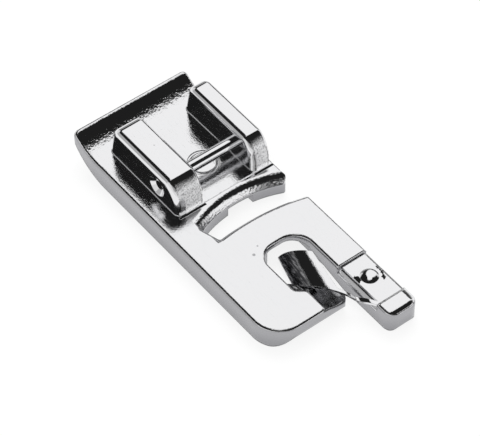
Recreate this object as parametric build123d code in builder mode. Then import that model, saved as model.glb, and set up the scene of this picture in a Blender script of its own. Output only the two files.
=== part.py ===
from build123d import *
from math import acos, cos, degrees, radians, sin, sqrt
import os

# Narrow rolled-hem presser foot, clip-on type, chrome plated.
# Frame: +X to the operator's right, +Y to the back of the machine, +Z up.
# The sole lies on z = 0 and the origin is under the middle of the foot.

# Overall size, mm
foot_length = 42.0
foot_width = 16.0
sole_thickness = 2.75
edge_radius = 0.3

# Needle line, measured to the right of the middle of the sole
needle_offset = 1.7

# Upturned back of the sole
ski_run_below = 6.1
ski_radius_below = 7.2
ski_run_above = 5.1
ski_radius_above = 7.6
ski_tail_radius = 0.3
rear_corner_radius = 0.6

# Toes
left_toe_setback = 5.3
left_toe_corner_radius = 3.6
left_toe_lift_radius = 1.7
right_toe_width = 4.05
right_toe_corner_radius = 1.25
right_toe_lift_radius = 0.6

# Ears that carry the cross pin
ear_rear_inset = 3.7
ear_length = 12.8
ear_height = 4.35
left_ear_width = 3.85
right_ear_edge_inset = 0.25
ear_side_radius = 0.72
ear_front_radius = 0.8
ear_back_radius = 1.3
ear_foot_height = 1.0
ear_front_lean = 1.9
ear_back_lean = 0.75
ear_root_depth = 0.6
pad_height = 0.15

# Cross pin
pin_gap = 6.75
pin_diameter = 1.5
pin_height = 2.0
pin_setback = 3.75
pin_end_sink = 0.3
pin_end_chamfer = 0.15
pin_mouth_diameter = 2.6
press_clearance = 0.01

# Round mark of the ejector between the ears
ejector_diameter = 3.7
ejector_ring_width = 0.3
ejector_depth = 0.18
ejector_setback = 4.75

# Needle slot and the rolled lip behind it
lip_land = 1.25
lip_radius = 1.3
lip_corner_radius = 0.4
slot_length = 3.7
slot_arc_radius = 14.0
slot_near_radius = 28.0
slot_left_offset = 6.1
slot_left_slant = 0.8
slot_corner_radius = 0.2
slot_edge_radius = 0.5

# Mouth of the hemmer, the U-shaped opening in front of the needle
bridge_length = 4.5
mouth_width = 5.67
mouth_left_radius = 2.0
mouth_right_radius = 2.3

# Sunken ledge on the inner side of the left toe
ledge_width = 4.17
ledge_front_length = 2.0
ledge_side_length = 5.6
ledge_step_inset = 1.12
ledge_step_setback = 3.4
ledge_step_rise = 0.9
ledge_wall_radius = 0.7
ledge_corner_radius = 0.9
ledge_depth = 0.65
ledge_slope = 5.0
ledge_trough_radius = 4.6
ledge_trough_offset = 3.3
ledge_rim_drop = 0.27
ledge_step_radius = 0.4
ledge_lap = 1.0

# Hem channel under the sole
channel_width = 3.4
channel_flare = 1.0
channel_mouth_height = 2.0
channel_exit_height = 1.1
channel_ramp_length = 7.95
channel_bevel = 0.45

# Seat of the scroll's tab on the right toe
toe_nose_length = 2.5
seat_length = 6.6
seat_depth = 0.6
seat_bevel = 0.55
tab_clearance = 0.08

# Hemming scroll, bent from sheet
sheet_thickness = 0.3
tab_edge_inset = 0.35
ridge_inset = 3.2
ridge_height = 2.6
ridge_slant = 0.198
neck_run = 2.75
neck_dip_run = 1.5
neck_dip = 0.35
neck_lap = 1.0
neck_width = 0.4
neck_waist = 0.6
tongue_setback = 3.33
tongue_rear_radius = 3.3
tongue_front_radius = 5.8
tongue_floor = 0.13
curl_radius = 0.4
curl_sweep = 140.0
scroll_rear_angle = 49.0
scroll_lip_angle = 61.0
scroll_lip_inset = 0.35

# Rivet that holds the tab
rivet_head_diameter = 2.15
rivet_head_height = 0.62
rivet_shank_diameter = 1.2
rivet_tail_diameter = 1.9
rivet_tail_recess = 0.06
rivet_setback = 3.7
rivet_side_inset = 1.95

# Room that a cutting tool has past the face it starts from
overrun = 1.0

# Places that follow from the sizes above
right_x = foot_width / 2
left_x = -right_x
rear_y = foot_length / 2
front_y = -rear_y
left_toe_y = front_y + left_toe_setback
sole_top = sole_thickness

ear_rear_y = rear_y - ear_rear_inset
ear_front_y = ear_rear_y - ear_length
ear_top = sole_top + ear_height
left_ear_inner = needle_offset - pin_gap / 2
left_ear_outer = left_ear_inner - left_ear_width
right_ear_inner = needle_offset + pin_gap / 2
right_ear_outer = right_x - right_ear_edge_inset

pin_y = ear_front_y + pin_setback
pin_z = sole_top + pin_height
pin_radius = pin_diameter / 2

lip_y = ear_front_y - lip_land
slot_front_y = lip_y - slot_length
slot_left_x = needle_offset - slot_left_offset
mouth_rear_y = slot_front_y - bridge_length
mouth_right_x = right_x - right_toe_width
mouth_left_x = mouth_right_x - mouth_width

ledge_rear_y = left_toe_y + ledge_side_length
ledge_right_x = mouth_left_x + ledge_width
trough_x = mouth_left_x + ledge_trough_offset
step_x = mouth_left_x + ledge_step_inset
step_y = left_toe_y + ledge_step_setback

seat_front_y = front_y + toe_nose_length
seat_rear_y = seat_front_y + seat_length
seat_z = sole_top - seat_depth

tab_left_x = mouth_right_x + seat_bevel
tab_right_x = right_x - tab_edge_inset
tab_front_y = seat_front_y + tab_clearance
tab_rear_y = seat_rear_y - tab_clearance
tab_top = seat_z + sheet_thickness

rivet_x = right_x - rivet_side_inset
rivet_y = seat_front_y + rivet_setback
rivet_hole_radius = rivet_shank_diameter / 2 + press_clearance


def lip_drop(x):
    """How far the lip's arc falls forward of its highest point at the needle line."""
    return slot_arc_radius - sqrt(slot_arc_radius**2 - (x - needle_offset) ** 2)


def near_drop(x):
    """How far the slot's near edge falls forward of its highest point in the middle of the sole."""
    return slot_near_radius - sqrt(slot_near_radius**2 - x**2)


def corner(sketch, x, y):
    """The vertex of a sketch nearest to a point."""
    return sketch.vertices().sort_by_distance((x, y))[0]


def in_slot(edge):
    """Whether an edge of the top goes round the needle slot."""
    middle = edge.center()
    return abs(middle.X) < right_x - overrun and mouth_rear_y < middle.Y < ear_front_y


# Corners of the needle slot
near_left_x = slot_left_x + slot_left_slant
slot_end_x = right_x + overrun
lip_left = (slot_left_x, lip_y - lip_drop(slot_left_x))
lip_right = (right_x, lip_y - lip_drop(right_x))
near_left = (near_left_x, slot_front_y - near_drop(near_left_x))
near_right = (slot_end_x, slot_front_y - near_drop(slot_end_x))


# Ears: one block each side of the gap, rounded all round its top
def ear(inner_x, outer_x):
    foot_z = sole_top - ear_root_depth
    with BuildPart() as block:
        with BuildSketch(Plane.YZ.offset(min(inner_x, outer_x))) as side:
            with BuildLine():
                front_top = (ear_front_y + ear_front_lean, ear_top)
                rear_top = (ear_rear_y - ear_back_lean, ear_top)
                foot = Line((ear_front_y, foot_z), (ear_front_y, sole_top + ear_foot_height))
                TangentArc(foot @ 1, front_top, tangent=foot % 1)
                Polyline(front_top, rear_top, (ear_rear_y, sole_top), (ear_rear_y, foot_z), foot @ 0)
            make_face()
            fillet(corner(side, *front_top), ear_front_radius)
            fillet(corner(side, *rear_top), ear_back_radius)
        extrude(amount=abs(outer_x - inner_x))
        rims = block.edges().filter_by(GeomType.LINE, reverse=True)
        fillet(rims, ear_side_radius)
    return block.part


left_ear = ear(left_ear_inner, left_ear_outer)
right_ear = ear(right_ear_inner, right_ear_outer)

# Ledge on the left toe: a low shelf with a trough on top that falls to the rear
with BuildPart() as ledge:
    with BuildSketch() as shelf:
        shelf_tip = (ledge_right_x, left_toe_y)
        shelf_heel = (ledge_right_x, left_toe_y + ledge_front_length)
        with BuildLine():
            Polyline(
                (mouth_left_x, ledge_rear_y),
                shelf_heel,
                shelf_tip,
                (mouth_left_x - ledge_lap, left_toe_y),
                (mouth_left_x - ledge_lap, ledge_rear_y),
                close=True,
            )
        make_face()
        fillet([corner(shelf, *shelf_tip), corner(shelf, *shelf_heel)], ledge_corner_radius)
    extrude(amount=sole_top - ledge_rim_drop)
    fall = Vector(0, cos(radians(ledge_slope)), -sin(radians(ledge_slope)))
    trough_axis = Vector(trough_x, left_toe_y, sole_top - ledge_depth + ledge_trough_radius)
    with BuildSketch(Plane(trough_axis - fall * overrun, x_dir=(1, 0, 0), z_dir=fall)) as trough:
        Circle(ledge_trough_radius)
    extrude(amount=ledge_side_length + 2 * overrun, mode=Mode.SUBTRACT)

# Lip tool: what rolls the front edge of the back of the sole over into the slot
with BuildPart() as lip_tool:
    with BuildSketch(Plane.YZ.offset(needle_offset)) as spandrel:
        with BuildLine():
            roll_low = (lip_y, sole_top - lip_radius)
            roll_top = (lip_y + lip_radius, sole_top)
            RadiusArc(roll_low, roll_top, lip_radius)
            Polyline(
                roll_top,
                (roll_top[0], sole_top + overrun),
                (lip_y - overrun, sole_top + overrun),
                (lip_y - overrun, roll_low[1]),
                roll_low,
            )
        make_face()
    revolve(axis=Axis((needle_offset, lip_y - slot_arc_radius, 0), (0, 0, 1)))
    with BuildSketch() as lip_reach:
        with BuildLine():
            Polyline(
                (lip_left[0], ear_rear_y),
                lip_left,
                near_left,
                (slot_end_x, near_left[1]),
                (slot_end_x, ear_rear_y),
                close=True,
            )
        make_face()
    extrude(amount=ear_top, mode=Mode.INTERSECT)

# Channel tool: the ramp that leads the hem from the mouth to a shallow groove at the back
with BuildPart() as channel_tool:
    with BuildSketch(Plane.YZ.offset(left_x)) as ramp:
        with BuildLine():
            Polyline(
                (mouth_rear_y - channel_ramp_length, 0),
                (mouth_rear_y, channel_mouth_height),
                (lip_y, channel_exit_height),
                (rear_y + overrun, channel_exit_height),
                (rear_y + overrun, 0),
                close=True,
            )
        make_face()
    extrude(amount=foot_width)
    with BuildSketch() as channel_plan:
        channel_left_x = mouth_right_x - channel_width
        with BuildLine():
            Polyline(
                (mouth_right_x + channel_bevel, mouth_rear_y - channel_ramp_length),
                (mouth_right_x + channel_bevel, mouth_rear_y),
                (mouth_right_x, lip_y),
                (mouth_right_x, rear_y + overrun),
                (channel_left_x, rear_y + overrun),
                (channel_left_x, lip_y),
                (channel_left_x - channel_flare, mouth_rear_y),
                (channel_left_x - channel_flare, mouth_rear_y - overrun),
                (mouth_right_x, mouth_rear_y - channel_ramp_length),
                close=True,
            )
        make_face()
    extrude(amount=ear_top, mode=Mode.INTERSECT)

# Foot body: sole, upturned back, ears and toes, cast in one piece
with BuildPart() as foot_body:
    with BuildSketch(Plane.YZ) as side:
        with BuildLine():
            below = (rear_y - ski_run_below, 0)
            above = (rear_y - ski_run_above, sole_top)
            rise_below = ski_radius_below - sqrt(ski_radius_below**2 - ski_run_below**2)
            rise_above = ski_radius_above - sqrt(ski_radius_above**2 - ski_run_above**2)
            tip_below = (rear_y, rise_below)
            tip_above = (rear_y, sole_top + rise_above)
            Polyline(above, (front_y, sole_top), (front_y, 0), below)
            RadiusArc(below, tip_below, -ski_radius_below)
            Line(tip_below, tip_above)
            RadiusArc(tip_above, above, ski_radius_above)
        make_face()
        fillet(corner(side, *tip_below), ski_tail_radius)
    extrude(amount=foot_width / 2, both=True)

    with BuildSketch() as plan:
        with BuildLine():
            Polyline(
                (left_x, rear_y),
                (right_x, rear_y),
                (right_x, front_y),
                (mouth_right_x, front_y),
                (mouth_right_x, mouth_rear_y),
                (mouth_left_x, mouth_rear_y),
                (mouth_left_x, step_y + ledge_step_rise),
                (step_x, step_y),
                (step_x, left_toe_y),
                (left_x, left_toe_y),
                close=True,
            )
        make_face()
        fillet([corner(plan, left_x, rear_y), corner(plan, right_x, rear_y)], rear_corner_radius)
        fillet(corner(plan, right_x, front_y), right_toe_corner_radius)
        fillet(corner(plan, mouth_right_x, front_y), right_toe_corner_radius)
        fillet(corner(plan, mouth_right_x, mouth_rear_y), mouth_right_radius)
        fillet(corner(plan, mouth_left_x, mouth_rear_y), mouth_left_radius)
        fillet(corner(plan, mouth_left_x, step_y + ledge_step_rise), ledge_step_radius)
        fillet(corner(plan, step_x, step_y), ledge_step_radius)
        fillet(corner(plan, step_x, left_toe_y), ledge_wall_radius)
        fillet(corner(plan, left_x, left_toe_y), left_toe_corner_radius)
    extrude(amount=ear_top, mode=Mode.INTERSECT)

    # Needle slot, open at the right
    with BuildSketch() as slot:
        with BuildLine():
            side_y = lip_right[1] + overrun
            ThreePointArc(lip_left, (needle_offset, lip_y), lip_right)
            Polyline(lip_right, (right_x, side_y), (slot_end_x, side_y), near_right)
            ThreePointArc(near_right, (0, slot_front_y), near_left)
            Line(near_left, lip_left)
        make_face()
        fillet(corner(slot, *near_left), slot_corner_radius)
        fillet(corner(slot, *lip_right), lip_corner_radius)
    extrude(amount=ear_top, mode=Mode.SUBTRACT)
    near_rim = foot_body.edges().sort_by_distance((0, slot_front_y, sole_top))[0]
    fillet(near_rim, slot_edge_radius)

    # Small radius round the outline of the top, but not where the upturned back starts
    level_faces = foot_body.faces().filter_by(Plane.XY)
    flat_top = level_faces.sort_by(Axis.Z)[-1]
    outline = flat_top.edges().sort_by_distance((0, *above))[1:]
    fillet(outline.filter_by(in_slot, reverse=True), edge_radius)

    # Seat for the scroll's tab
    with BuildSketch(Plane.XZ.offset(-seat_rear_y)) as seat:
        with BuildLine():
            Polyline(
                (right_x + overrun, seat_z),
                (tab_left_x, seat_z),
                (mouth_right_x - seat_bevel, seat_z - 2 * seat_bevel),
                (mouth_right_x - seat_bevel, ear_top),
                (right_x + overrun, ear_top),
                close=True,
            )
        make_face()
    extrude(amount=seat_length, mode=Mode.SUBTRACT)

    # Rolled lip behind the slot, and the shelf beside the mouth
    add(lip_tool.part, mode=Mode.SUBTRACT)
    add(ledge.part)

    # Lifted undersides of the toes, so that fabric slides in
    for toe_y, toe_left, toe_right, lift in (
        (left_toe_y, left_x, ledge_right_x, left_toe_lift_radius),
        (front_y, mouth_right_x, right_x, right_toe_lift_radius),
    ):
        with BuildSketch(Plane.YZ.offset(toe_left)) as lift_corner:
            with BuildLine():
                Polyline((toe_y + lift, 0), (toe_y, 0), (toe_y, lift))
                RadiusArc((toe_y, lift), (toe_y + lift, 0), -lift)
            make_face()
        extrude(amount=toe_right - toe_left, mode=Mode.SUBTRACT)

    # Hem channel under the sole
    add(channel_tool.part, mode=Mode.SUBTRACT)

    # Ears on their pad, which falls to nothing at the back
    with BuildSketch(Plane.YZ.offset(left_ear_inner - ear_side_radius)) as pad:
        with BuildLine():
            Polyline(
                (ear_front_y, sole_top - ear_root_depth),
                (ear_front_y, sole_top + pad_height),
                (ear_rear_y, sole_top),
                (ear_rear_y, sole_top - ear_root_depth),
                close=True,
            )
        make_face()
    extrude(amount=pin_gap + 2 * ear_side_radius)
    add([left_ear, right_ear])

    # Pin holes, opened out where the pin's ends are set
    with BuildSketch(Plane.YZ.offset(left_x)) as bore:
        with Locations((pin_y, pin_z)):
            Circle(pin_radius + press_clearance)
    extrude(amount=foot_width, mode=Mode.SUBTRACT)
    mouth_depth = (pin_mouth_diameter - pin_diameter) / 2
    for outer_x, inward in ((left_ear_outer, 1), (right_ear_outer, -1)):
        with Locations(Plane((outer_x, pin_y, pin_z), z_dir=(inward, 0, 0))):
            Cone(
                pin_mouth_diameter / 2,
                pin_radius,
                mouth_depth,
                align=(Align.CENTER, Align.CENTER, Align.MIN),
                mode=Mode.SUBTRACT,
            )

    # Round mark of the ejector
    with BuildSketch(Plane.XY.offset(sole_top + pad_height)) as mark:
        with Locations((needle_offset, ear_front_y + ejector_setback)):
            Circle(ejector_diameter / 2)
            Circle(ejector_diameter / 2 - ejector_ring_width, mode=Mode.SUBTRACT)
    extrude(amount=-ejector_depth, mode=Mode.SUBTRACT)

    # Rivet hole with a countersink for its tail
    with Locations((rivet_x, rivet_y, 0)):
        Cylinder(
            rivet_hole_radius,
            sole_thickness,
            align=(Align.CENTER, Align.CENTER, Align.MIN),
            mode=Mode.SUBTRACT,
        )
        Cone(
            rivet_tail_diameter / 2 + press_clearance,
            rivet_hole_radius,
            (rivet_tail_diameter - rivet_shank_diameter) / 2,
            align=(Align.CENTER, Align.CENTER, Align.MIN),
            mode=Mode.SUBTRACT,
        )

# Cross pin, pressed through both ears
with BuildPart() as cross_pin:
    pin_left = left_ear_outer + pin_end_sink
    pin_right = right_ear_outer - pin_end_sink
    with BuildSketch(Plane.YZ.offset(pin_left)):
        with Locations((pin_y, pin_z)):
            Circle(pin_radius)
    extrude(amount=pin_right - pin_left)
    chamfer(cross_pin.edges().filter_by(GeomType.CIRCLE), pin_end_chamfer)

# Hemming scroll: a slanted tongue that rolls to the left and curls under,
# held by a dipped neck and a flat tab
ridge_x = tab_left_x - ridge_inset
ridge_way = Vector(ridge_slant, 1, 0)
lip_way = Vector(-cos(radians(scroll_lip_angle)), sin(radians(scroll_lip_angle)), 0)
rear_way = Vector(-cos(radians(scroll_rear_angle)), sin(radians(scroll_rear_angle)), 0)
lip_start = Vector(tab_left_x - scroll_lip_inset, tab_front_y, 0)
lip_run = (lip_start.X - ridge_x) / (ridge_slant * lip_way.Y - lip_way.X)
ridge_front = lip_start + lip_way * lip_run
tongue_length = mouth_rear_y - tongue_setback - ridge_front.Y
ridge_rear = ridge_front + ridge_way * tongue_length
lip_plane = Plane(lip_start, z_dir=Vector(lip_way.Y, -lip_way.X, 0))
rear_plane = Plane(ridge_rear, z_dir=Vector(-rear_way.Y, rear_way.X, 0))
tongue_reach = 2 * (tongue_length + lip_run)

with BuildPart() as scroll_neck:
    with BuildSketch(Plane.XZ.offset(-tab_front_y)) as dip:
        neck_end_x = ridge_x + neck_run
        with BuildLine():
            crest = Vector(ridge_x, ridge_height)
            valley = Vector(ridge_x + neck_dip_run, tab_top - neck_dip)
            tab_edge = Vector(neck_end_x, tab_top)
            under = Vector(0, -sheet_thickness)
            level = Vector(1, 0)
            lap_end = tab_edge + level * neck_lap
            Spline(crest, valley, tab_edge, tangents=(level, level))
            Polyline(tab_edge, lap_end, lap_end + under, tab_edge + under)
            Spline(crest + under, valley + under, tab_edge + under, tangents=(level, level))
            Line(crest, crest + under)
        make_face()
    extrude(amount=tongue_reach, dir=ridge_way)
    split(bisect_by=lip_plane, keep=Keep.TOP)
    waist = ridge_front + ridge_way * neck_waist
    heel = Vector(tab_left_x, tab_front_y + neck_width, 0)
    neck_way = heel - waist
    split(bisect_by=Plane(waist, z_dir=Vector(neck_way.Y, -neck_way.X, 0)), keep=Keep.TOP)

with BuildPart() as hemming_scroll:
    for section_y, radius in ((tab_front_y, tongue_front_radius), (mouth_rear_y, tongue_rear_radius)):
        with BuildSketch(Plane.XZ.offset(-section_y)) as section:
            center_z = ridge_height - radius
            roll_center = Vector(ridge_x + ridge_slant * (section_y - tab_front_y), center_z)
            sweep = degrees(acos((tongue_floor + curl_radius - center_z) / (radius - curl_radius)))
            turn = 90 + sweep
            curl_center = roll_center + Vector(radius - curl_radius, 0).rotate(Axis.Z, turn)
            with BuildLine():
                outer = CenterArc(roll_center, radius, 90, sweep)
                inner = CenterArc(roll_center, radius - sheet_thickness, 90, sweep)
                outer_curl = CenterArc(curl_center, curl_radius, turn, curl_sweep)
                inner_curl = CenterArc(curl_center, curl_radius - sheet_thickness, turn, curl_sweep)
                Line(outer @ 0, inner @ 0)
                Line(outer_curl @ 1, inner_curl @ 1)
            make_face()
    loft(ruled=True)
    split(bisect_by=rear_plane, keep=Keep.TOP)
    split(bisect_by=lip_plane, keep=Keep.TOP)
    add(scroll_neck.part)
    with BuildSketch(Plane.XY.offset(seat_z)) as tab:
        with BuildLine():
            Polyline(
                (tab_left_x, tab_front_y),
                (tab_right_x, tab_front_y),
                (tab_right_x, tab_rear_y),
                (tab_left_x, tab_rear_y),
                close=True,
            )
        make_face()
        with Locations((rivet_x, rivet_y)):
            Circle(rivet_hole_radius, mode=Mode.SUBTRACT)
    extrude(amount=sheet_thickness)

# Scroll rivet: domed head on the tab, tail spread into the countersink
with BuildPart() as scroll_rivet:
    with BuildSketch(Plane((rivet_x, rivet_y, 0), x_dir=(1, 0, 0), z_dir=(0, -1, 0))) as half:
        with BuildLine():
            head_radius = rivet_head_diameter / 2
            shank_radius = rivet_shank_diameter / 2
            tail_radius = rivet_tail_diameter / 2
            dome_radius = (head_radius**2 + rivet_head_height**2) / (2 * rivet_head_height)
            top = (0, tab_top + rivet_head_height)
            rim = (head_radius, tab_top)
            RadiusArc(top, rim, dome_radius)
            Polyline(
                rim,
                (shank_radius, tab_top),
                (shank_radius, tail_radius - shank_radius),
                (tail_radius - rivet_tail_recess, rivet_tail_recess),
                (0, rivet_tail_recess),
                top,
            )
        make_face()
    revolve(axis=Axis((rivet_x, rivet_y, 0), (0, 0, 1)))

os.makedirs("parts", exist_ok=True)
for name, builder in (
    ("foot_body", foot_body),
    ("cross_pin", cross_pin),
    ("hemming_scroll", hemming_scroll),
    ("scroll_rivet", scroll_rivet),
):
    builder.part.label = name
    export_step(builder.part, f"parts/{name}.step")
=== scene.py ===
# %% [markdown]
# # A chrome-plated presser foot for rolled hems
# The real foot is a small zinc casting with bright chrome on it. A plain steel pin goes
# through its two ears, and a curled sheet, the hemming scroll, is riveted to the right toe.
# The solids come from the CAD model with their real sizes, so nothing here moves or reshapes
# them. What Blender adds is everything that makes polished metal look like metal: smooth
# shading, a plated finish with its small faults, and a studio for the chrome to mirror.

# %% Load the frame
import math

import bpy
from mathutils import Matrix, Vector


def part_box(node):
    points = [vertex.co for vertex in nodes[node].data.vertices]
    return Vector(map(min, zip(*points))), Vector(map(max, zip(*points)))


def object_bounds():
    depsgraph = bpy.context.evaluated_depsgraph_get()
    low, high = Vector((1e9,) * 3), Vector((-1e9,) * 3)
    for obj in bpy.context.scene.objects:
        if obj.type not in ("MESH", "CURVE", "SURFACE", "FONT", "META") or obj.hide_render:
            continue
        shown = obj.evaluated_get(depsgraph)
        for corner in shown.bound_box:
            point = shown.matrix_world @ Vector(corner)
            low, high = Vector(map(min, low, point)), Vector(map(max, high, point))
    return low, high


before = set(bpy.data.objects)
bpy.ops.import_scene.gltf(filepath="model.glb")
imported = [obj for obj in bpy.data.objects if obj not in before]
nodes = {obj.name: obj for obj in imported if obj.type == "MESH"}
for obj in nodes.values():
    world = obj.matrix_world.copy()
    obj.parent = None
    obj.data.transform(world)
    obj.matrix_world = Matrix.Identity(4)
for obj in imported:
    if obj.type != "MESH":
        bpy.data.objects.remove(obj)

MM = 0.001
cad_box = [list(corner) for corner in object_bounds()]


def in_mm(box):
    return [[round(side / MM, 2) for side in corner] for corner in box]


print("CAD nodes:", sorted(nodes))
print("CAD box in mm:", in_mm(cad_box))

# %% [markdown]
# ## Small helpers for node trees
# Materials, the world and node groups are all node trees, and building them by hand in code
# gets long. Five helpers keep the cells short: add_node makes a node and sets its fields, feed
# puts a number or another node's output into a socket, calc and vector_calc work on numbers and
# on vectors, and ramp makes a soft step between two values.

# %% Node helpers
def add_node(tree, kind, **fields):
    made = tree.nodes.new(kind)
    for field, value in fields.items():
        setattr(made, field, value)
    return made


def feed(tree, socket, value):
    if isinstance(value, bpy.types.NodeSocket):
        tree.links.new(value, socket)
    else:
        socket.default_value = value


def calc(tree, operation, first, second=0.0, third=0.0, clamp=False):
    made = add_node(tree, "ShaderNodeMath", operation=operation, use_clamp=clamp)
    for socket, value in zip(made.inputs, (first, second, third)):
        feed(tree, socket, value)
    return made.outputs["Value"]


def vector_calc(tree, operation, first, second=None):
    made = add_node(tree, "ShaderNodeVectorMath", operation=operation)
    feed(tree, made.inputs[0], first)
    if second is not None:
        feed(tree, made.inputs["Scale" if operation == "SCALE" else 1], second)
    return made.outputs["Value" if operation == "DOT_PRODUCT" else "Vector"]


def ramp(tree, value, start, end, low=0.0, high=1.0):
    made = add_node(tree, "ShaderNodeMapRange", interpolation_type="SMOOTHSTEP")
    for label, number in (("Value", value), ("From Min", start), ("From Max", end)):
        feed(tree, made.inputs[label], number)
    made.inputs["To Min"].default_value = low
    made.inputs["To Max"].default_value = high
    return made.outputs["Result"]


node_helpers = (add_node, feed, calc, vector_calc, ramp)
print("node helpers:", [helper.__name__ for helper in node_helpers])

# %% [markdown]
# ## Camera
# The photograph was taken from the front left, about 50 degrees above the table, with a long
# lens: the two long sides of the sole stay almost parallel. The camera is placed by those
# angles on a sphere round a point of the sole, and then looks back along the same line.

# %% Camera
VIEW_AZIMUTH = math.radians(-38.08)
VIEW_ELEVATION = math.radians(49.57)
VIEW_DISTANCE = 301.2 * MM
VIEW_TARGET = Vector((1.37, 2.10, 0.0)) * MM
LENS_MM = 201.3
SENSOR_MM = 36.0
NEAREST = 10 * MM
FARTHEST = 100.0

back = Vector((
    math.sin(VIEW_AZIMUTH) * math.cos(VIEW_ELEVATION),
    -math.cos(VIEW_AZIMUTH) * math.cos(VIEW_ELEVATION),
    math.sin(VIEW_ELEVATION),
))
camera_data = bpy.data.cameras.new("photo_camera")
camera_data.lens = LENS_MM
camera_data.sensor_width = SENSOR_MM
camera_data.clip_start = NEAREST
camera_data.clip_end = FARTHEST
camera = bpy.data.objects.new("photo_camera", camera_data)
camera.location = VIEW_TARGET + back * VIEW_DISTANCE
camera.rotation_mode = "QUATERNION"
camera.rotation_quaternion = (-back).to_track_quat("-Z", "Y")
bpy.context.scene.collection.objects.link(camera)
bpy.context.scene.camera = camera
print("camera in mm:", in_mm([camera.location]))

# %% [markdown]
# ## White table
# The background is plain white. A table with a white paint would do, but its brightness falls
# off with distance and in every opening of the foot, so most of its white is light of its own
# for the rays that see it: camera rays, and the mirror rays of the chrome. The rest is paint,
# which darkens under the foot, so the soft contact shadow stays.

# %% Table
TABLE_HALF = 3.0

table_mesh = bpy.data.meshes.new("table")
table_mesh.from_pydata(
    [(x * TABLE_HALF, y * TABLE_HALF, 0.0) for x, y in ((-1, -1), (1, -1), (1, 1), (-1, 1))],
    [],
    [(0, 1, 2, 3)],
)
table = bpy.data.objects.new("table", table_mesh)
bpy.context.scene.collection.objects.link(table)
print("table", 2 * TABLE_HALF, "m wide")

# %% Table paint
TABLE_WHITE = (0.22, 0.22, 0.22, 1.0)
TABLE_GLOW = 0.82
TABLE_ROUGHNESS = 0.9

table_paint = bpy.data.materials.new("table_paint")
table_paint.use_nodes = True
tree = table_paint.node_tree
paint = tree.nodes["Principled BSDF"]
paint.inputs["Base Color"].default_value = TABLE_WHITE
paint.inputs["Roughness"].default_value = TABLE_ROUGHNESS
paint.inputs["Specular IOR Level"].default_value = 0.0
paint.inputs["Emission Color"].default_value = (1.0, 1.0, 1.0, 1.0)


def seen_rays(tree):
    rays = add_node(tree, "ShaderNodeLightPath").outputs
    mirrored = calc(tree, "ADD", rays["Is Glossy Ray"], rays["Is Transmission Ray"], clamp=True)
    return calc(tree, "ADD", rays["Is Camera Ray"], mirrored, clamp=True)


glow = calc(tree, "MULTIPLY", seen_rays(tree), TABLE_GLOW)
feed(tree, paint.inputs["Emission Strength"], glow)
table_mesh.materials.append(table_paint)
print("table glow:", TABLE_GLOW, "and paint:", TABLE_WHITE[0])

# %% [markdown]
# ## Studio
# Chrome has no colour of its own: what it mirrors is its look. The photograph shows white on
# everything that faces up, black bands where surfaces turn towards the front or the left, white
# again near the front horizon and grey near the left and rear one. That is a studio with one
# large white screen above the foot, to the right and back, black cards round it, and a room
# that is darker at the back. Real cards could be placed one by one, but a single painted tent
# is easier to tune: it is a dome that only mirror rays can see, so it neither blocks the light
# nor shows in the picture.

# %% Reflection tent
TENT_RADIUS = 0.8
TENT_SEGMENTS = 48
TENT_RINGS = 16
TENT_EDGE = math.radians(1)

tent_points = []
for ring in range(TENT_RINGS):
    height = TENT_EDGE + (math.pi / 2 - TENT_EDGE) * ring / TENT_RINGS
    for step in range(TENT_SEGMENTS):
        turn = 2 * math.pi * step / TENT_SEGMENTS
        direction = Vector((
            math.cos(turn) * math.cos(height),
            math.sin(turn) * math.cos(height),
            math.sin(height),
        ))
        tent_points.append(direction * TENT_RADIUS)
tent_points.append(Vector((0, 0, TENT_RADIUS)))
tent_faces = []
for ring in range(TENT_RINGS):
    for step in range(TENT_SEGMENTS):
        corner = ring * TENT_SEGMENTS + step
        beside = ring * TENT_SEGMENTS + (step + 1) % TENT_SEGMENTS
        if ring + 1 < TENT_RINGS:
            tent_faces.append((corner, beside, beside + TENT_SEGMENTS, corner + TENT_SEGMENTS))
        else:
            tent_faces.append((corner, beside, len(tent_points) - 1))
tent_mesh = bpy.data.meshes.new("reflection_tent")
tent_mesh.from_pydata(tent_points, [], tent_faces)
tent = bpy.data.objects.new("reflection_tent", tent_mesh)
bpy.context.scene.collection.objects.link(tent)
tent.visible_camera = False
tent.visible_diffuse = False
tent.visible_shadow = False
tent.visible_volume_scatter = False
print("tent faces:", len(tent_faces))

# %% [markdown]
# The paint of the tent is a mask of directions. From the middle of the tent, a point's own
# position is its direction, so its X and Y say where the round white screen ends, and Z says
# how high the black cards begin. Below the cards the room shows: a white door in front, grey to
# the left, darker at the back and darkest at the right.

# %% Tent directions
tent_paint = bpy.data.materials.new("tent_paint")
tent_paint.use_nodes = True
tree = tent_paint.node_tree
tree.nodes.remove(tree.nodes["Principled BSDF"])
place = add_node(tree, "ShaderNodeNewGeometry").outputs["Position"]
axes = add_node(tree, "ShaderNodeSeparateXYZ")
feed(tree, axes.inputs[0], vector_calc(tree, "NORMALIZE", place))
across, along, upward = (axes.outputs[axis] for axis in "XYZ")
print("directions:", across.name, along.name, upward.name)

# %% [markdown]
# Masks are numbers between 0 and 1 that change over a surface. Five more helpers work on them: mix
# goes from one value to another by a mask, both joins masks, within keeps a range of a value, length
# measures a distance in two directions, and share_of gives a distance from a middle as a share.

# %% Mask helpers
def mix(tree, share, first, second):
    step = calc(tree, "SUBTRACT", second, first)
    return calc(tree, "MULTIPLY_ADD", share, step, first)


def both(tree, first, *others):
    for other in others:
        first = calc(tree, "MULTIPLY", first, other)
    return first


def within(tree, value, low, high, soft):
    rising = ramp(tree, value, low - soft, low + soft)
    return both(tree, rising, ramp(tree, value, high + soft, high - soft))


def length(tree, first, second):
    square = calc(tree, "MULTIPLY_ADD", first, first, calc(tree, "MULTIPLY", second, second))
    return calc(tree, "SQRT", square)


def share_of(tree, value, middle, half):
    return calc(tree, "DIVIDE", calc(tree, "SUBTRACT", value, middle), half)


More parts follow.
